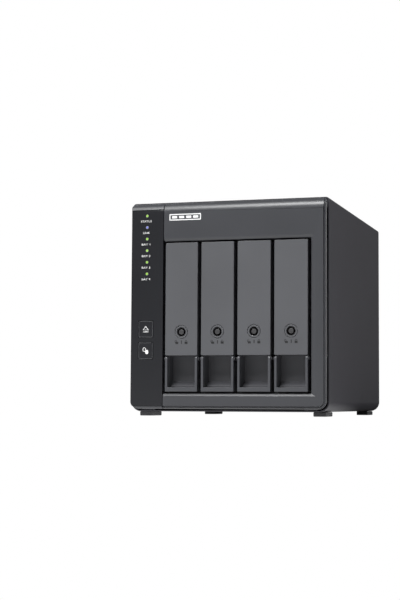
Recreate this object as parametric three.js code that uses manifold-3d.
// A desktop storage enclosure with four pull-out drive trays, in millimetres.
// X runs to the right as seen from the front, Y towards the back, Z up. The origin is the centre of the
// footprint, on the surface that the rubber feet stand on.
import * as THREE from "three";
import { mergeVertices } from "three/addons/utils/BufferGeometryUtils.js";
import Module from "manifold-3d";

const wasm = await Module();
wasm.setup();

// ---------------------------------------------------------------- driving dimensions

const WIDTH = 160;
const DEPTH = 219;
const HEIGHT = 168.5;
const FOOT_HEIGHT = 3.5;
const FRONT = -DEPTH / 2;
const BACK = DEPTH / 2;
const GAP = 0.3;
const SMALLEST_DETAIL = 0.004;

// Outer cover: one bent sheet, open along the middle of its underside.
const SHEET = 1.2;
const COVER_FRONT = FRONT + 6.6;
const COVER_TOP_RADIUS = 2.5;
const COVER_BOTTOM_RADIUS = 8;
const COVER_LIP = 62;

// Front mouldings. A shadow groove runs between them and the cover.
const BEZEL_HALF = 79.1;
const BEZEL_BOTTOM = 5.6;
const BEZEL_TOP = 168;
const BEZEL_TOP_RADIUS = 3.2;
const BEZEL_BOTTOM_RADIUS = 6.8;
const BEZEL_WALL = 2.8;
const BEZEL_BACK = FRONT + 11;
const GROOVE_DEPTH = 2;
const FRONT_EDGE_RADIUS = 2.2;
const TOP_EDGE_RADIUS = 8;
const STRIP_RIGHT = -52;

// Fine line cut round the fascia, just inside its side and bottom edges.
const LINE_SIDE_INSET = 1.1;
const LINE_BOTTOM_INSET = 1;
const LINE_WIDTH = 0.8;
const LINE_DEPTH = 0.8;

// Window that the trays slide through, and the bevel round it.
const WINDOW_RIGHT = 67;
const WINDOW_BOTTOM = 17.5;
const WINDOW_TOP = 136.9;
const WINDOW_BEVEL = 3.4;
const WINDOW_SILL_BEVEL = 1.9;
const WINDOW_BEVEL_DEPTH = 1.5;
const WINDOW_WALL = 1.5;

// Indicators and buttons on the strip.
const PANEL_THICKNESS = 1.8;
const PANEL_BOTTOM = 7.6;
const PANEL_TOP = 162;
const LIGHT_X = -65.6;
const LIGHT_TOP_Z = 157.6;
const LIGHT_PITCH = 9.2;
const LIGHT_COUNT = 6;
const LIGHT_RADIUS = 1;
const BUTTON_X = -66.1;
const BUTTON_WIDTH = 12;
const BUTTON_HEIGHT = 13;
const EJECT_Z = 67.9;
const COPY_Z = 50.9;

// Trays.
const TRAY_COUNT = 4;
const TRAY_PITCH = 29.4;
const TRAY_FIRST_X = -36.75;
const FACE_HALF = 13.2;
const FACE_FRONT = FRONT + 0.1;
const FACE_THICKNESS = 1.35;
const TRAY_BOTTOM = 18.9;
const TRAY_TOP = 135.5;
const TRAY_HALF = 13.1;
const TRAY_RAIL_RIGHT = 13.6;
const TRAY_WALL = 1.2;
const TRAY_REAR = 58;
const RAIL_THICKNESS = 2.4;
const HANDLE_TOP = 47;
const POCKET_DEPTH = 14.8;
const ARM_WIDTH = 2;
const ARM_DEPTH = 4.4;
const BAR_HEIGHT = 3.3;
const BAR_DEPTH = 2.5;
const PIVOT_Z = 44.4;
const PIVOT_RADIUS = 0.75;
const EAR_RADIUS = 1.35;
const EAR_THICKNESS = 0.5;
const LOCK_Z = 65.4;
const LOCK_RADIUS = 3.4;
const KEY_SLOT_RADIUS = 3.1;
const KEY_PIN_RADIUS = 2.15;

// A 3.5 inch drive lies on its edge in each tray.
const DRIVE_HEIGHT = 101.6;
const DRIVE_BOTTOM = 26.2;

// Cage and guides round the trays.
const CAGE_LEFT = -53.4;
const CAGE_RIGHT = 70.6;
const CAGE_TOP = 141.2;
const CAGE_SHELF = 13.3;
const CAGE_SHEET = 1;
const CAGE_FRONT = BEZEL_BACK + 0.7;
const CAGE_REAR = 76;
const GUIDE_REAR = 60;
const GUIDE_RIB = 1.5;

// Back of the enclosure.
const REAR_PANEL_FRONT = BACK - 2.5;
const REAR_FLANGE = 6;
const FAN_SIZE = 120;
const FAN_DEPTH = 25;
const FAN_X = 12;
const FAN_Z = 84;
const FAN_BORE = 58.5;
const FAN_HOLE_SPACING = 105;
const BOARD_RIGHT = -58.4;
const BOARD_THICKNESS = 1.6;
const PORT_X = -66;
const USB_Z = 84;
const JACK_X = -64.9;
const JACK_Z = 39.5;
const DIP_Z = 115;
const DIP_PITCH = 3.5;
const POWER_Z = 136;
const SLOT_Z = 152;

const FOOT_X = 70.6;
const FOOT_FRONT_Y = -83;
const FOOT_BACK_Y = 88;
const FOOT_WIDTH = 10.2;
const FOOT_LENGTH = 24;

// ---------------------------------------------------------------- solids

// A closed geometry as a solid that can be cut and joined.
function solid(geometry) {
  const bare = new THREE.BufferGeometry();
  bare.setAttribute("position", geometry.getAttribute("position"));
  bare.setIndex(geometry.index);
  const merged = mergeVertices(bare, 1e-4);
  const vertProperties = merged.attributes.position.array;
  const triVerts = new Uint32Array(merged.index.array);
  return new wasm.Manifold(new wasm.Mesh({ numProp: 3, vertProperties, triVerts }));
}

function geometryOf(shape) {
  const mesh = shape.simplify(SMALLEST_DETAIL).getMesh();
  const geometry = new THREE.BufferGeometry();
  geometry.setAttribute("position", new THREE.BufferAttribute(mesh.vertProperties, 3));
  geometry.setIndex(new THREE.BufferAttribute(mesh.triVerts, 1));
  const flat = geometry.toNonIndexed();
  flat.computeVertexNormals();
  return flat;
}

function join(...shapes) {
  return shapes.reduce((whole, shape) => whole.add(shape));
}

function box([x0, x1], [y0, y1], [z0, z1]) {
  const geometry = new THREE.BoxGeometry(x1 - x0, y1 - y0, z1 - z0);
  geometry.translate((x0 + x1) / 2, (y0 + y1) / 2, (z0 + z1) / 2);
  return solid(geometry);
}

// A cylinder along Y.
function rod(radius, x, [y0, y1], z, segments = 24) {
  const geometry = new THREE.CylinderGeometry(radius, radius, y1 - y0, segments);
  geometry.translate(x, (y0 + y1) / 2, z);
  return solid(geometry);
}

function extrude(shape, depth, curveSegments) {
  return new THREE.ExtrudeGeometry(shape, { depth, curveSegments, bevelEnabled: false });
}

// A shape drawn in X and Z, extruded along Y.
function alongY(shape, [y0, y1], curveSegments = 3) {
  const geometry = extrude(shape, y1 - y0, curveSegments);
  const toXZ = new THREE.Matrix4().makeBasis(
    new THREE.Vector3(1, 0, 0),
    new THREE.Vector3(0, 0, 1),
    new THREE.Vector3(0, -1, 0),
  );
  geometry.applyMatrix4(toXZ);
  geometry.translate(0, y1, 0);
  return solid(geometry);
}

// A shape drawn in Y and Z, extruded along X.
function alongX(shape, [x0, x1], curveSegments = 3) {
  const geometry = extrude(shape, x1 - x0, curveSegments);
  const toYZ = new THREE.Matrix4().makeBasis(
    new THREE.Vector3(0, 1, 0),
    new THREE.Vector3(0, 0, 1),
    new THREE.Vector3(1, 0, 0),
  );
  geometry.applyMatrix4(toYZ);
  geometry.translate(x0, 0, 0);
  return solid(geometry);
}

// A shape drawn in X and Y, extruded along Z.
function alongZ(shape, [z0, z1], curveSegments = 3) {
  const geometry = extrude(shape, z1 - z0, curveSegments);
  geometry.translate(0, 0, z0);
  return solid(geometry);
}

// A rectangle with its own radius at each corner, as a shape or as a hole in one.
function roundedRect([x0, x1], [y0, y1], radii, outline = new THREE.Shape()) {
  const r = { lowLeft: 0, lowRight: 0, highRight: 0, highLeft: 0, ...radii };
  const quarter = Math.PI / 2;
  const corners = [
    [x0 + r.lowLeft, y0 + r.lowLeft, r.lowLeft, 2 * quarter],
    [x1 - r.lowRight, y0 + r.lowRight, r.lowRight, 3 * quarter],
    [x1 - r.highRight, y1 - r.highRight, r.highRight, 0],
    [x0 + r.highLeft, y1 - r.highLeft, r.highLeft, quarter],
  ];
  corners.forEach(([x, y, radius, start], k) => {
    if (radius > 0) {
      outline.absarc(x, y, radius, start, start + quarter, false);
    } else if (k === 0) {
      outline.moveTo(x, y);
    } else {
      outline.lineTo(x, y);
    }
  });
  return outline;
}

function evenRadii(radius) {
  return { lowLeft: radius, lowRight: radius, highRight: radius, highLeft: radius };
}

function polygon(points) {
  return new THREE.Shape(points.map(([x, y]) => new THREE.Vector2(x, y)));
}

// The cross-section that the whole casing follows: upright, with small top and large bottom corners.
function casingSection(half, bottom, top, bottomRadius, topRadius) {
  const radii = {
    lowLeft: bottomRadius,
    lowRight: bottomRadius,
    highRight: topRadius,
    highLeft: topRadius,
  };
  return roundedRect([-half, half], [bottom, top], radii);
}

// A block whose front and back rectangles differ, each given as [left, right, bottom, top].
function taper(front, frontY, back, backY) {
  const ring = ([x0, x1, z0, z1], y) => [x0, y, z0, x1, y, z0, x1, y, z1, x0, y, z1];
  const geometry = new THREE.BufferGeometry();
  const corners = new Float32Array([...ring(front, frontY), ...ring(back, backY)]);
  geometry.setAttribute("position", new THREE.BufferAttribute(corners, 3));
  const quads = [
    [0, 1, 2, 3],
    [5, 4, 7, 6],
    [4, 5, 1, 0],
    [1, 5, 6, 2],
    [2, 6, 7, 3],
    [3, 7, 4, 0],
  ];
  geometry.setIndex(quads.flatMap(([a, b, c, d]) => [a, b, c, a, c, d]));
  return solid(geometry);
}

// ---------------------------------------------------------------- materials

function finish(color, roughness, metalness = 0) {
  return new THREE.MeshStandardMaterial({ color, roughness, metalness });
}

const finishes = {
  cover: finish(0x3f3e43, 0.55, 0.1),
  bezel: finish(0x525358, 0.45),
  panel: finish(0x2c2d32, 0.3),
  face: finish(0x696a6f, 0.5),
  handle: finish(0x5c5d62, 0.45),
  tray: finish(0x1d1e21, 0.6),
  lock: finish(0x2a2b2e, 0.4),
  rubber: finish(0x2b2b2e, 0.85),
  steel: finish(0xa9abad, 0.4, 0.9),
  board: finish(0x1c4a34, 0.6),
  connector: finish(0x141415, 0.5),
  lightPipe: finish(0x9be05a, 0.2),
  fan: finish(0x161618, 0.55),
};

// ---------------------------------------------------------------- casing

function outerCover() {
  const section = casingSection(
    WIDTH / 2,
    FOOT_HEIGHT,
    HEIGHT,
    COVER_BOTTOM_RADIUS,
    COVER_TOP_RADIUS,
  );
  section.holes.push(
    casingSection(
      WIDTH / 2 - SHEET,
      FOOT_HEIGHT + SHEET,
      HEIGHT - SHEET,
      COVER_BOTTOM_RADIUS - SHEET,
      COVER_TOP_RADIUS - SHEET,
    ),
  );
  const opening = box([-COVER_LIP, COVER_LIP], [FRONT, BACK + 1], [0, FOOT_HEIGHT + 2 * SHEET]);
  return alongY(section, [COVER_FRONT, BACK], 4).subtract(opening);
}

// The bottom sheet lies between the cover's lips, and its raised edges lie on them.
function basePlate() {
  const half = COVER_LIP - GAP;
  const rise = SHEET + 0.2;
  const z = FOOT_HEIGHT;
  const edgeY = [COVER_FRONT, REAR_PANEL_FRONT - REAR_FLANGE - 0.5];
  const slots = [];
  for (const [y0, y1] of [[-70, -36], [-20, 14], [30, 64]]) {
    for (let k = -4; k <= 4; k++) {
      slots.push(box([k * 11 - 2, k * 11 + 2], [y0, y1], [z - 1, z + 3]));
    }
  }
  const edges = [-1, 1].map((side) => {
    const section = polygon([
      [side * half, z],
      [side * half, z + rise],
      [side * (half + 9), z + rise],
      [side * (half + 9), z + rise + SHEET],
      [side * (half - SHEET), z + rise + SHEET],
      [side * (half - SHEET), z],
    ]);
    return alongY(section, edgeY);
  });
  const floor = box([-half, half], [edgeY[0], BACK - SHEET - 0.1], [z, z + SHEET]);
  return join(floor, ...edges).subtract(join(...slots));
}

function foot() {
  const base = roundedRect(
    [-FOOT_WIDTH / 2, FOOT_WIDTH / 2],
    [-FOOT_LENGTH / 2, FOOT_LENGTH / 2],
    evenRadii(1),
  );
  return alongZ(base, [0, FOOT_HEIGHT - 0.05], 2);
}

// The solid that both front mouldings are cut from: rounded edges, hollow behind, with the shadow groove.
function bezelBlock() {
  const section = (inset) => casingSection(
    BEZEL_HALF - inset,
    BEZEL_BOTTOM + inset,
    BEZEL_TOP - inset,
    Math.max(BEZEL_BOTTOM_RADIUS - inset, 1),
    Math.max(BEZEL_TOP_RADIUS - inset, 1),
  );
  const slabBack = FRONT + BEZEL_WALL;
  const crown = box([-WIDTH, WIDTH], [slabBack, COVER_FRONT - GAP], [160, HEIGHT]);
  const outside = join(
    alongY(section(0), [FRONT, slabBack], 4),
    alongY(section(0), [slabBack - 0.5, COVER_FRONT], 4).intersect(crown),
    alongY(section(GROOVE_DEPTH), [slabBack - 0.5, BEZEL_BACK]),
  );
  const side = roundedRect(
    [FRONT, BEZEL_BACK],
    [BEZEL_BOTTOM, BEZEL_TOP],
    { lowLeft: FRONT_EDGE_RADIUS, highLeft: TOP_EDGE_RADIUS },
  );
  const plan = roundedRect(
    [-BEZEL_HALF, BEZEL_HALF],
    [FRONT, BEZEL_BACK],
    { lowLeft: FRONT_EDGE_RADIUS, lowRight: FRONT_EDGE_RADIUS },
  );
  const cavity = alongY(section(GROOVE_DEPTH + 1.5), [slabBack, BEZEL_BACK + 1]);
  return outside
    .intersect(alongX(side, [-WIDTH, WIDTH], 8))
    .intersect(alongZ(plan, [0, HEIGHT + 1], 6))
    .subtract(cavity);
}

// The fine line, as a solid that follows the rounded front and runs out over the top.
function edgeLine() {
  const outline = (inset) => casingSection(
    BEZEL_HALF - LINE_SIDE_INSET - inset,
    BEZEL_BOTTOM + LINE_BOTTOM_INSET + inset,
    HEIGHT + 5 - inset,
    BEZEL_BOTTOM_RADIUS - LINE_BOTTOM_INSET - inset,
    1,
  );
  const band = outline(0);
  band.holes.push(outline(LINE_WIDTH));
  const floor = roundedRect(
    [FRONT + LINE_DEPTH, BEZEL_BACK],
    [0, BEZEL_TOP - LINE_DEPTH],
    { highLeft: TOP_EDGE_RADIUS - LINE_DEPTH },
  );
  return alongY(band, [FRONT - 1, COVER_FRONT], 4).subtract(alongX(floor, [-WIDTH, WIDTH], 8));
}

function frontBezel(block) {
  const left = STRIP_RIGHT + GAP;
  const wallY = [FRONT + BEZEL_WALL - 0.1, BEZEL_BACK];
  const outerRight = WINDOW_RIGHT + WINDOW_WALL;
  const walls = join(
    box([WINDOW_RIGHT, outerRight], wallY, [WINDOW_BOTTOM - WINDOW_WALL, WINDOW_TOP + WINDOW_WALL]),
    box([left, outerRight], wallY, [WINDOW_TOP, WINDOW_TOP + WINDOW_WALL]),
    box([left, outerRight], wallY, [WINDOW_BOTTOM - WINDOW_WALL, WINDOW_BOTTOM]),
  );
  const window = box([-WIDTH, WINDOW_RIGHT], [FRONT - 1, BEZEL_BACK + 1], [WINDOW_BOTTOM, WINDOW_TOP]);
  const bevel = taper(
    [-WIDTH, WINDOW_RIGHT + WINDOW_BEVEL, WINDOW_BOTTOM - WINDOW_SILL_BEVEL, WINDOW_TOP + WINDOW_BEVEL],
    FRONT,
    [-WIDTH, WINDOW_RIGHT, WINDOW_BOTTOM, WINDOW_TOP],
    FRONT + WINDOW_BEVEL_DEPTH,
  );
  const rightOfStrip = box([left, WIDTH], [FRONT - 1, BEZEL_BACK + 1], [0, HEIGHT]);
  return block
    .intersect(rightOfStrip)
    .subtract(window)
    .subtract(bevel)
    .subtract(edgeLine())
    .add(walls);
}

function lightHoles(radius) {
  const rods = [];
  for (let i = 0; i < LIGHT_COUNT; i++) {
    rods.push(rod(radius, LIGHT_X, [FRONT - 1, BEZEL_BACK], LIGHT_TOP_Z - i * LIGHT_PITCH, 16));
  }
  return join(...rods);
}

// A block at each button's place, larger than the button by the margin.
function buttonBlocks(margin, y) {
  const half = [BUTTON_WIDTH / 2 + margin, BUTTON_HEIGHT / 2 + margin];
  const blocks = [EJECT_Z, COPY_Z].map((z) => {
    const outline = roundedRect(
      [BUTTON_X - half[0], BUTTON_X + half[0]],
      [z - half[1], z + half[1]],
      evenRadii(1.2),
    );
    return alongY(outline, y, 3);
  });
  return join(...blocks);
}

function bezelStrip(block) {
  const leftPart = box([-WIDTH, STRIP_RIGHT], [FRONT - 1, BEZEL_BACK + 1], [0, HEIGHT]);
  const wall = box(
    [STRIP_RIGHT - WINDOW_WALL, STRIP_RIGHT],
    [FRONT + BEZEL_WALL - 0.1, BEZEL_BACK],
    [BEZEL_BOTTOM + GROOVE_DEPTH + 1, BEZEL_TOP - GROOVE_DEPTH - 2],
  );
  const seat = box(
    [-WIDTH, STRIP_RIGHT + 1],
    [FRONT - 1, FRONT + PANEL_THICKNESS + 0.15],
    [PANEL_BOTTOM - 0.15, PANEL_TOP + 0.15],
  );
  return block
    .intersect(leftPart)
    .add(wall)
    .subtract(seat)
    .subtract(lightHoles(LIGHT_RADIUS + 0.2))
    .subtract(buttonBlocks(GAP, [FRONT - 1, FRONT + BEZEL_WALL + 1]));
}

function indicatorPanel(block) {
  const plate = box(
    [-WIDTH, STRIP_RIGHT],
    [FRONT - 1, FRONT + PANEL_THICKNESS],
    [PANEL_BOTTOM, PANEL_TOP],
  );
  return block
    .intersect(plate)
    .subtract(lightHoles(LIGHT_RADIUS + 0.15))
    .subtract(buttonBlocks(GAP, [FRONT - 1, FRONT + PANEL_THICKNESS + 1]));
}

// Six light pipes moulded onto one bar.
function lightPipeComb() {
  const barY = [FRONT + 4.6, FRONT + 6.1];
  const pins = [];
  for (let i = 0; i < LIGHT_COUNT; i++) {
    const z = LIGHT_TOP_Z - i * LIGHT_PITCH;
    pins.push(rod(LIGHT_RADIUS, LIGHT_X, [FRONT, barY[0] + 0.2], z, 16));
  }
  const low = LIGHT_TOP_Z - (LIGHT_COUNT - 1) * LIGHT_PITCH - 2.4;
  return join(box([LIGHT_X - 2, LIGHT_X + 2], barY, [low, LIGHT_TOP_Z + 2.4]), ...pins);
}

// A push button with a flange that keeps it behind the strip's front wall.
function pushButton(z) {
  const cap = roundedRect(
    [BUTTON_X - BUTTON_WIDTH / 2, BUTTON_X + BUTTON_WIDTH / 2],
    [z - BUTTON_HEIGHT / 2, z + BUTTON_HEIGHT / 2],
    evenRadii(1.2),
  );
  const flange = box(
    [BUTTON_X - BUTTON_WIDTH / 2 - 1.2, BUTTON_X + BUTTON_WIDTH / 2 + 1.2],
    [FRONT + BEZEL_WALL + 0.1, FRONT + BEZEL_WALL + 0.9],
    [z - BUTTON_HEIGHT / 2 - 1.2, z + BUTTON_HEIGHT / 2 + 1.2],
  );
  return join(alongY(cap, [FRONT, FRONT + BEZEL_WALL + 0.5], 3), flange);
}

// The circuit board behind the strip, with a switch under each button and a light under each pipe.
function frontBoard() {
  const boardY = [FRONT + 7.1, FRONT + 8.7];
  const parts = [box([-75, -55.5], boardY, [38, 162])];
  for (const z of [EJECT_Z, COPY_Z]) {
    parts.push(box([BUTTON_X - 3, BUTTON_X + 3], [FRONT + 4.9, boardY[0] + 0.2], [z - 3, z + 3]));
  }
  for (let i = 0; i < LIGHT_COUNT; i++) {
    const z = LIGHT_TOP_Z - i * LIGHT_PITCH;
    const lampY = [FRONT + 6.3, boardY[0] + 0.2];
    parts.push(box([LIGHT_X - 1.6, LIGHT_X + 1.6], lampY, [z - 0.8, z + 0.8]));
  }
  return join(...parts);
}

// ---------------------------------------------------------------- cage and guides

// A side wall of the drive cage, which stands on the base plate and has air holes between the trays.
function cageWall([x0, x1]) {
  const foot = FOOT_HEIGHT + 2 * SHEET + 0.4;
  const side = roundedRect([CAGE_FRONT, CAGE_REAR], [foot, CAGE_TOP], {});
  for (let y = -80; y < 60; y += 28) {
    side.holes.push(roundedRect([y, y + 16], [45, 110], evenRadii(4), new THREE.Path()));
  }
  return alongX(side, [x0, x1], 2);
}

// The shelf that ties the two walls together under the trays.
function cageShelf() {
  const inner = [CAGE_LEFT + CAGE_SHEET + GAP, CAGE_RIGHT - CAGE_SHEET - GAP];
  const holes = [];
  for (let y = -80; y < 60; y += 28) {
    holes.push(box([inner[0] + 14, inner[1] - 14], [y, y + 10], [0, CAGE_SHELF + 2]));
  }
  return box(inner, [CAGE_FRONT, CAGE_REAR], [CAGE_SHELF, CAGE_SHELF + CAGE_SHEET]).subtract(join(...holes));
}

// Where the ribs between the trays stand, as [left, right].
function ribPlaces() {
  const places = [[TRAY_FIRST_X - 15.2, TRAY_FIRST_X - 15.2 + GUIDE_RIB]];
  for (let i = 0; i < TRAY_COUNT; i++) {
    const x = TRAY_FIRST_X + i * TRAY_PITCH + 14.2;
    places.push([x, x + GUIDE_RIB]);
  }
  return places;
}

// A moulded plate above or below the trays, with ribs that keep them apart.
function trayGuide(plateZ, ribZ) {
  const guideY = [CAGE_FRONT, GUIDE_REAR];
  const across = [CAGE_LEFT + CAGE_SHEET + 0.2, CAGE_RIGHT - CAGE_SHEET - 0.2];
  const ribs = ribPlaces().map((place) => box(place, guideY, ribZ));
  let guide = join(box(across, guideY, plateZ), ...ribs);
  for (let i = 0; i < TRAY_COUNT; i++) {
    const x = TRAY_FIRST_X + i * TRAY_PITCH;
    guide = guide.subtract(box([x - 6, x + 6], [-70, 40], [plateZ[0] - 1, plateZ[1] + 1]));
  }
  return guide;
}

// ---------------------------------------------------------------- trays, drawn about their own centre line

const pocketBack = FACE_FRONT + POCKET_DEPTH;
const frameFront = FACE_FRONT + FACE_THICKNESS + 0.05;
const pivotY = FACE_FRONT + ARM_DEPTH / 2;
const armBack = FACE_FRONT + ARM_DEPTH + 0.4;
const armInner = FACE_HALF - ARM_WIDTH;

function trayFrame() {
  const across = [-TRAY_HALF, TRAY_HALF];
  const blockBack = pocketBack + 3.5;
  const ledge = polygon([
    [armBack + 0.4, TRAY_BOTTOM],
    [pocketBack + 1.7, TRAY_BOTTOM],
    [pocketBack + 1.7, 27],
    [pocketBack, 27],
    [pocketBack - 5.6, 23.4],
    [pocketBack - 5.6, TRAY_BOTTOM + TRAY_WALL],
    [armBack + 0.4, TRAY_BOTTOM + TRAY_WALL],
  ]);
  const parts = [
    alongX(ledge, across),
    box(across, [pocketBack, pocketBack + 1.7], [TRAY_BOTTOM, HANDLE_TOP + 1.4]),
    box(across, [frameFront, blockBack], [HANDLE_TOP, HANDLE_TOP + 1.4]),
    box(across, [frameFront, frameFront + 1.6], [HANDLE_TOP, TRAY_TOP]),
    box(across, [frameFront, blockBack], [TRAY_TOP - RAIL_THICKNESS, TRAY_TOP]),
  ];
  for (const side of [-1, 1]) {
    const span = (a, b) => [side * a, side * b].sort((p, q) => p - q);
    parts.push(box(span(armInner, TRAY_HALF), [armBack, pocketBack + 1], [TRAY_BOTTOM, HANDLE_TOP + 1]));
    parts.push(box(span(TRAY_HALF - TRAY_WALL, TRAY_HALF), [frameFront, blockBack], [HANDLE_TOP, TRAY_TOP]));
    parts.push(pivotEar(span(FACE_HALF + GAP, FACE_HALF + GAP + EAR_THICKNESS)));
    parts.push(box(
      span(TRAY_HALF - 0.5, FACE_HALF + GAP + EAR_THICKNESS),
      [armBack, armBack + 3],
      [PIVOT_Z - EAR_RADIUS, PIVOT_Z + EAR_RADIUS],
    ));
  }
  const rearY = [pocketBack + 0.5, TRAY_REAR];
  const railX = [-TRAY_HALF, TRAY_RAIL_RIGHT];
  parts.push(box(railX, rearY, [TRAY_BOTTOM, TRAY_BOTTOM + RAIL_THICKNESS]));
  parts.push(box(railX, rearY, [TRAY_TOP - RAIL_THICKNESS, TRAY_TOP]));
  const plate = roundedRect(rearY, [TRAY_BOTTOM, TRAY_TOP], {});
  for (let y = -78; y < 40; y += 28) {
    plate.holes.push(roundedRect([y, y + 16], [42, 112], evenRadii(4), new THREE.Path()));
  }
  parts.push(alongX(plate, [-TRAY_HALF, -TRAY_HALF + TRAY_WALL], 2));
  const lockHole = rod(LOCK_RADIUS + 0.4, 0, [FRONT - 1, frameFront + 3], LOCK_Z);
  return join(...parts).subtract(lockHole);
}

// The ear that an arm's pivot pin turns in, on the arm's outer side.
function pivotEar(x) {
  const outline = roundedRect(
    [pivotY - EAR_RADIUS, armBack + 1],
    [PIVOT_Z - EAR_RADIUS, PIVOT_Z + EAR_RADIUS],
    { lowLeft: EAR_RADIUS - 0.1, highLeft: EAR_RADIUS - 0.1 },
  );
  outline.holes.push(circleHole(pivotY, PIVOT_Z, PIVOT_RADIUS + 0.15, 12));
  return alongX(outline, x, 3);
}

function trayFace() {
  const outline = roundedRect(
    [-FACE_HALF, FACE_HALF],
    [HANDLE_TOP + 0.1, TRAY_TOP],
    evenRadii(0.8),
  );
  const ring = rod(5.35, 0, [FRONT - 1, FACE_FRONT + 0.35], LOCK_Z, 40)
    .subtract(rod(4.9, 0, [FRONT - 2, FACE_FRONT + 1], LOCK_Z, 40));
  return alongY(outline, [FACE_FRONT, FACE_FRONT + FACE_THICKNESS], 1)
    .subtract(rod(LOCK_RADIUS + 0.2, 0, [FRONT - 1, FRONT + 3], LOCK_Z, 32))
    .subtract(ring);
}

// A bail that hangs from two pivot pins: lifted outwards, it pulls the tray.
function trayHandle() {
  const armShape = roundedRect(
    [FACE_FRONT, FACE_FRONT + ARM_DEPTH],
    [TRAY_BOTTOM, PIVOT_Z + ARM_DEPTH / 2],
    { highRight: ARM_DEPTH / 2 - 0.01, highLeft: ARM_DEPTH / 2 - 0.01 },
  );
  const pin = roundedRect(
    [pivotY - PIVOT_RADIUS, pivotY + PIVOT_RADIUS],
    [PIVOT_Z - PIVOT_RADIUS, PIVOT_Z + PIVOT_RADIUS],
    evenRadii(PIVOT_RADIUS - 0.01),
  );
  const barTop = TRAY_BOTTOM + BAR_HEIGHT;
  const parts = [box([-FACE_HALF, FACE_HALF], [FACE_FRONT, FACE_FRONT + BAR_DEPTH], [TRAY_BOTTOM, barTop])];
  for (const side of [-1, 1]) {
    const span = (a, b) => [side * a, side * b].sort((p, q) => p - q);
    parts.push(alongX(armShape, span(armInner, FACE_HALF)));
    parts.push(alongX(pin, span(FACE_HALF - 0.2, FACE_HALF + GAP + EAR_THICKNESS - 0.1), 1));
  }
  return join(...parts);
}

// The lock's barrel, with the round slot that a tubular key fits, and a cam behind it.
function lockBarrel() {
  const barrelFront = FACE_FRONT + 0.5;
  const camY = [FRONT + 8, FRONT + 9.5];
  const cam = roundedRect([-2, 2], [LOCK_Z - 10, LOCK_Z + 2], evenRadii(1.4));
  const slot = rod(KEY_SLOT_RADIUS, 0, [FRONT - 1, barrelFront + 5], LOCK_Z, 32)
    .subtract(rod(KEY_PIN_RADIUS, 0, [FRONT - 2, barrelFront + 6], LOCK_Z, 24));
  const notchZ = [LOCK_Z + 1.4, LOCK_Z + KEY_SLOT_RADIUS - 0.1];
  const notch = box([-0.45, 0.45], [FRONT - 1, barrelFront + 1.6], notchZ);
  return join(
    rod(LOCK_RADIUS, 0, [barrelFront, camY[0] + 0.2], LOCK_Z, 32).subtract(slot).subtract(notch),
    alongY(cam, camY, 3),
  );
}

// A strip that clips onto a rail and grips the edge of the drive.
function driveClip(z0, z1) {
  const ends = [-82, 42];
  const step = Math.sign(z1 - z0) * 1.6;
  const side = polygon([
    [ends[0], z0],
    [ends[1], z0],
    [ends[1], z0 + step],
    [ends[1] - 5, z1],
    [ends[0] + 5, z1],
    [ends[0], z0 + step],
  ]);
  return alongX(side, [-9, 9]);
}

// ---------------------------------------------------------------- boards, ports and fan

function sataConnector() {
  const shell = box([-9, -3.4], [57.6, 62], [30, 72]);
  const slot = box([-7.4, -5], [57, 60.8], [32, 70]);
  return shell.subtract(slot);
}

function backplaneBoard() {
  let board = box([-51.5, 69], [62.2, 63.8], [CAGE_SHELF + CAGE_SHEET + 0.3, 80]);
  for (let i = 0; i < TRAY_COUNT; i++) {
    const x = TRAY_FIRST_X + i * TRAY_PITCH + 6;
    board = board.subtract(box([x - 4.5, x + 4.5], [60, 66], [34, 72]));
  }
  return board;
}

function mainBoard() {
  const left = BOARD_RIGHT - BOARD_THICKNESS;
  const chip = (y, z, width, height, rise) =>
    box([left - rise, left + 0.1], [y - width / 2, y + width / 2], [z - height / 2, z + height / 2]);
  const can = (y, z) => {
    const geometry = new THREE.CylinderGeometry(3.2, 3.2, 9.1, 12);
    geometry.rotateZ(Math.PI / 2);
    geometry.translate(left - 4.5, y, z);
    return solid(geometry);
  };
  return join(
    box([left, BOARD_RIGHT], [-20, 105.5], [14, 152]),
    chip(20, 96, 17, 17, 1.8),
    chip(52, 70, 10, 10, 1.4),
    chip(60, 30, 12, 12, 5),
    chip(78, 30, 12, 12, 5),
    chip(4, 50, 4, 50, 8),
    chip(96.5, POWER_Z, 10, 11, 10.5),
    can(40, 46),
    can(50, 46),
    can(60, 46),
  );
}

function usbPort() {
  const stadium = (half, length, outline) => roundedRect(
    [-62.2 - half, -62.2 + half],
    [USB_Z - length / 2, USB_Z + length / 2],
    evenRadii(half - 0.01),
    outline,
  );
  const shell = alongY(stadium(1.65, 9.1), [99, 108.9], 4);
  const mouth = alongY(stadium(1.3, 8.4), [101, 110], 4);
  const tongue = box([-62.55, -61.85], [100.8, 107.6], [USB_Z - 3, USB_Z + 3]);
  return shell.subtract(mouth).add(tongue);
}

function powerJack() {
  return join(
    box([JACK_X - 4.6, JACK_X + 4.6], [94, REAR_PANEL_FRONT - 0.2], [JACK_Z - 5.5, JACK_Z + 5.5]),
    rod(4.3, JACK_X, [100, 108.9], JACK_Z),
  )
    .subtract(rod(3.1, JACK_X, [99.5, 110], JACK_Z, 20))
    .add(rod(1.05, JACK_X, [99, 107.9], JACK_Z, 10));
}

const dipSlot = [-67.1, -62.4];

function dipSwitchBlock() {
  let block = join(
    box([-69.4, -60.2], [101, REAR_PANEL_FRONT - 0.2], [DIP_Z - 7, DIP_Z + 7]),
    box([-68.3, -61.2], [104, REAR_PANEL_FRONT + 0.9], [DIP_Z - 6, DIP_Z + 6]),
  );
  for (const k of [-1, 0, 1]) {
    const z = DIP_Z + k * DIP_PITCH;
    block = block.subtract(box(dipSlot, [REAR_PANEL_FRONT - 1.2, BACK], [z - 1.1, z + 1.1]));
  }
  return block;
}

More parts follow.
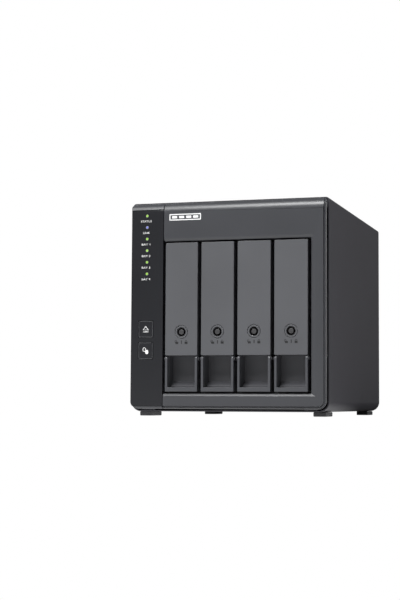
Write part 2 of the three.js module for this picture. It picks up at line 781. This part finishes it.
function dipSlider(k) {
  const z = DIP_Z + k * DIP_PITCH;
  return box([dipSlot[0] + 0.2, dipSlot[0] + 2.4], [REAR_PANEL_FRONT - 1, BACK - 0.6], [z - 0.85, z + 0.85]);
}

// The power button's flange keeps it behind the rear panel, and its stem reaches the switch.
function powerButton() {
  return join(
    rod(4.8, PORT_X, [105.6, BACK - 0.2], POWER_Z),
    rod(5.8, PORT_X, [105.4, REAR_PANEL_FRONT - 0.2], POWER_Z),
    rod(2, PORT_X, [102.6, 105.6], POWER_Z, 12),
  );
}

// Concentric arcs between four spokes, drawn as holes.
function grilleHoles() {
  const holes = [];
  const slotWidth = 4.2;
  const spoke = 4;
  for (let ring = 0; ring < 7; ring++) {
    const inner = 9 + ring * 6.8;
    const outer = inner + slotWidth;
    const edge = spoke / 2 / inner;
    for (let quarter = 0; quarter < 4; quarter++) {
      const start = Math.PI / 4 + quarter * Math.PI / 2 + edge;
      const end = Math.PI / 4 + (quarter + 1) * Math.PI / 2 - edge;
      const hole = new THREE.Path();
      hole.absarc(FAN_X, FAN_Z, outer, start, end, false);
      hole.absarc(FAN_X, FAN_Z, inner, end, start, true);
      hole.closePath();
      holes.push(hole);
    }
  }
  return holes;
}

function circleHole(x, z, radius, sides = 24) {
  const points = [];
  for (let k = 0; k < sides; k++) {
    const angle = (2 * Math.PI * k) / sides;
    points.push(new THREE.Vector2(x + radius * Math.cos(angle), z + radius * Math.sin(angle)));
  }
  return new THREE.Path(points);
}

function rearPanel() {
  const half = WIDTH / 2 - SHEET - GAP;
  const bottom = FOOT_HEIGHT + SHEET + GAP;
  const top = HEIGHT - SHEET - GAP;
  const section = casingSection(half, bottom, top, COVER_BOTTOM_RADIUS - SHEET - GAP, 1);
  section.holes.push(
    ...grilleHoles(),
    roundedRect([-64, -60.4], [USB_Z - 4.8, USB_Z + 4.8], evenRadii(1.7), new THREE.Path()),
    circleHole(JACK_X, JACK_Z, 4.8),
    roundedRect([-68.5, -61], [DIP_Z - 6.2, DIP_Z + 6.2], {}, new THREE.Path()),
    circleHole(PORT_X, POWER_Z, 5.3),
    roundedRect([PORT_X - 1.6, PORT_X + 1.6], [SLOT_Z - 3.6, SLOT_Z + 3.6], evenRadii(0.8), new THREE.Path()),
    circleHole(-72, 161, 1.7, 12),
    circleHole(72, 161, 1.7, 12),
  );
  const corner = FAN_HOLE_SPACING / 2;
  for (const [dx, dz] of [[-1, -1], [1, -1], [1, 1], [-1, 1]]) {
    section.holes.push(circleHole(FAN_X + dx * corner, FAN_Z + dz * corner, 2.2, 12));
  }
  const rim = casingSection(half, bottom, top, COVER_BOTTOM_RADIUS - SHEET - GAP, 1);
  rim.holes.push(casingSection(half - SHEET, bottom + SHEET, top - SHEET, 5, 0.5));
  return join(
    alongY(section, [REAR_PANEL_FRONT, REAR_PANEL_FRONT + SHEET]),
    alongY(rim, [REAR_PANEL_FRONT - REAR_FLANGE, REAR_PANEL_FRONT + 0.2]),
  );
}

function panelScrew(x) {
  return join(rod(3.2, x, [108.25, 109.4], 161, 20), rod(1.4, x, [103, 108.5], 161, 12));
}

function fanFrame() {
  const half = FAN_SIZE / 2;
  const back = REAR_PANEL_FRONT - 0.5;
  const front = back - FAN_DEPTH;
  const flange = roundedRect([FAN_X - half, FAN_X + half], [FAN_Z - half, FAN_Z + half], evenRadii(6));
  const corner = FAN_HOLE_SPACING / 2;
  for (const [dx, dz] of [[-1, -1], [1, -1], [1, 1], [-1, 1]]) {
    flange.holes.push(circleHole(FAN_X + dx * corner, FAN_Z + dz * corner, 2.2, 12));
  }
  const spokes = [0, Math.PI / 2].map((angle) => {
    const geometry = new THREE.BoxGeometry(2 * FAN_BORE + 1, 2.4, 5);
    geometry.rotateY(angle);
    geometry.translate(FAN_X, back - 1.4, FAN_Z);
    return solid(geometry);
  });
  return join(
    alongY(flange, [front, front + 4]),
    alongY(flange, [back - 4, back]),
    rod(half, FAN_X, [front + 2, back - 2], FAN_Z, 48),
  )
    .subtract(rod(FAN_BORE, FAN_X, [front - 1, back + 1], FAN_Z, 48))
    .add(join(rod(19, FAN_X, [back - 2.8, back - 0.2], FAN_Z), ...spokes));
}

// One fan blade as a loft of thin slanted sections, from the hub outwards.
function fanBlade(turn) {
  const stations = 6;
  const positions = [];
  for (let i = 0; i < stations; i++) {
    const share = i / (stations - 1);
    const radius = 18 + share * 38.5;
    const pitch = THREE.MathUtils.degToRad(48 - 20 * share);
    const centre = turn + 0.25 * share * share;
    const halfChord = 11 + 5 * share;
    for (const [along, across] of [[-1, -0.3], [0, -1], [1, -0.3], [1, 0.3], [0, 0.4], [-1, 0.3]]) {
      const round = along * halfChord * Math.cos(pitch) + across * Math.sin(pitch);
      const angle = centre + round / radius;
      const y = 93 + along * halfChord * Math.sin(pitch) * 0.75 - across * Math.cos(pitch);
      positions.push(FAN_X + radius * Math.cos(angle), y, FAN_Z + radius * Math.sin(angle));
    }
  }
  const ring = 6;
  const index = [];
  for (let i = 0; i < stations - 1; i++) {
    for (let j = 0; j < ring; j++) {
      const a = i * ring + j;
      const b = i * ring + ((j + 1) % ring);
      index.push(a, b, a + ring, b, b + ring, a + ring);
    }
  }
  const last = (stations - 1) * ring;
  for (let j = 1; j < ring - 1; j++) {
    index.push(0, j + 1, j);
    index.push(last, last + j, last + j + 1);
  }
  const geometry = new THREE.BufferGeometry();
  geometry.setAttribute("position", new THREE.Float32BufferAttribute(positions, 3));
  geometry.setIndex(index);
  return solid(geometry);
}

function fanRotor() {
  const blades = [];
  for (let k = 0; k < 7; k++) {
    blades.push(fanBlade((k * 2 * Math.PI) / 7));
  }
  return join(
    rod(19.5, FAN_X, [84, 102.6], FAN_Z, 36),
    rod(2, FAN_X, [102, 103.4], FAN_Z, 12),
    ...blades,
  );
}

// ---------------------------------------------------------------- assembly

const enclosure = new THREE.Group();

function addPart(name, shape, material, parent = enclosure) {
  const mesh = new THREE.Mesh(geometryOf(shape), material);
  mesh.name = name;
  parent.add(mesh);
  return mesh;
}

addPart("outer_cover", outerCover(), finishes.cover);
addPart("base_plate", basePlate(), finishes.cover);
addPart("rear_panel", rearPanel(), finishes.cover);

const block = bezelBlock();
addPart("front_bezel", frontBezel(block), finishes.bezel);
addPart("bezel_strip", bezelStrip(block), finishes.bezel);
addPart("indicator_panel", indicatorPanel(block), finishes.panel);
addPart("light_pipe_comb", lightPipeComb(), finishes.lightPipe);
addPart("eject_button", pushButton(EJECT_Z), finishes.panel);
addPart("copy_button", pushButton(COPY_Z), finishes.panel);
addPart("front_board", frontBoard(), finishes.board);

addPart("cage_left_wall", cageWall([CAGE_LEFT, CAGE_LEFT + CAGE_SHEET]), finishes.steel);
addPart("cage_right_wall", cageWall([CAGE_RIGHT - CAGE_SHEET, CAGE_RIGHT]), finishes.steel);
addPart("cage_shelf", cageShelf(), finishes.steel);
addPart("upper_tray_guide", trayGuide([136.3, 140], [130.5, 136.4]), finishes.connector);
addPart("lower_tray_guide", trayGuide([14.5, 18.6], [18.5, 24]), finishes.connector);
addPart("backplane_board", backplaneBoard(), finishes.board);
addPart("main_board", mainBoard(), finishes.board);
addPart("usb_port", usbPort(), finishes.steel);
addPart("power_jack", powerJack(), finishes.connector);
addPart("dip_switch_block", dipSwitchBlock(), finishes.connector);
for (const k of [1, 2, 3]) {
  addPart(`dip_slider_${k}`, dipSlider(2 - k), finishes.steel);
}
addPart("power_button", powerButton(), finishes.connector);
addPart("panel_screw_left", panelScrew(-72), finishes.steel);
addPart("panel_screw_right", panelScrew(72), finishes.steel);
addPart("fan_frame", fanFrame(), finishes.fan);
addPart("fan_rotor", fanRotor(), finishes.fan);

const footShape = foot();
for (const [name, x, y] of [
  ["foot_front_left", -FOOT_X, FOOT_FRONT_Y],
  ["foot_front_right", FOOT_X, FOOT_FRONT_Y],
  ["foot_back_left", -FOOT_X, FOOT_BACK_Y],
  ["foot_back_right", FOOT_X, FOOT_BACK_Y],
]) {
  addPart(name, footShape, finishes.rubber).position.set(x, y, 0);
}

const trayParts = {
  frame: [trayFrame(), finishes.tray],
  face: [trayFace(), finishes.face],
  handle: [trayHandle(), finishes.handle],
  lock: [lockBarrel(), finishes.lock],
  lower_clip: [driveClip(TRAY_BOTTOM + RAIL_THICKNESS + 0.2, DRIVE_BOTTOM - 0.4), finishes.handle],
  upper_clip: [
    driveClip(TRAY_TOP - RAIL_THICKNESS - 0.2, DRIVE_BOTTOM + DRIVE_HEIGHT + 0.6),
    finishes.handle,
  ],
};
const connector = sataConnector();
for (let i = 0; i < TRAY_COUNT; i++) {
  const bay = new THREE.Group();
  bay.position.x = TRAY_FIRST_X + i * TRAY_PITCH;
  enclosure.add(bay);
  for (const [name, [shape, material]] of Object.entries(trayParts)) {
    addPart(`tray_${i + 1}_${name}`, shape, material, bay);
  }
  addPart(`sata_connector_${i + 1}`, connector, finishes.connector, bay);
}

export default enclosure;
